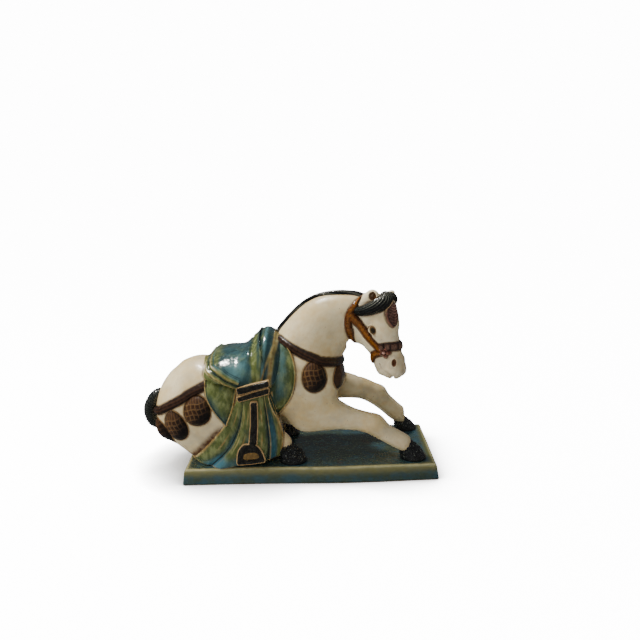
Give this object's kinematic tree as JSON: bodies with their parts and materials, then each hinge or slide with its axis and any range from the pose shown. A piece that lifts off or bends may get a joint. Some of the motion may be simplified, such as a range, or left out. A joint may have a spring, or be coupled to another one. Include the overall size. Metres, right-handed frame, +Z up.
{
  "type": "chinese tomb horse figure",
  "caption": "Glazed pottery figure of a resting horse with a draped saddle, head turned aside and forelegs stretched out, on a low rectangular plinth.",
  "frame": {"origin": "centre of the plinth's flat underside", "axes": "+X along the plinth towards the horse's head, +Y to the horse's left side, +Z up"},
  "size_m": [0.287, 0.1076, 0.1785],
  "materials": {
    "cream_glaze": "cream white lead glaze over pottery, glossy, with faint crackle and specks",
    "green_glaze": "olive green glaze run over teal blue, glossy, with a tan line along edges",
    "teal_glaze": "teal blue glaze with olive streaks, glossy, pooled dark in the folds",
    "brown_glaze": "dark brown glaze with amber flecks, glossy, thin on the ridges",
    "amber_glaze": "amber brown glaze, glossy",
    "black_glaze": "black glaze, glossy, grey where it is thin"
  },
  "bodies": {
    "root": {"horse": "cream_glaze", "plinth": "green_glaze"}
  },
  "joints": []
}
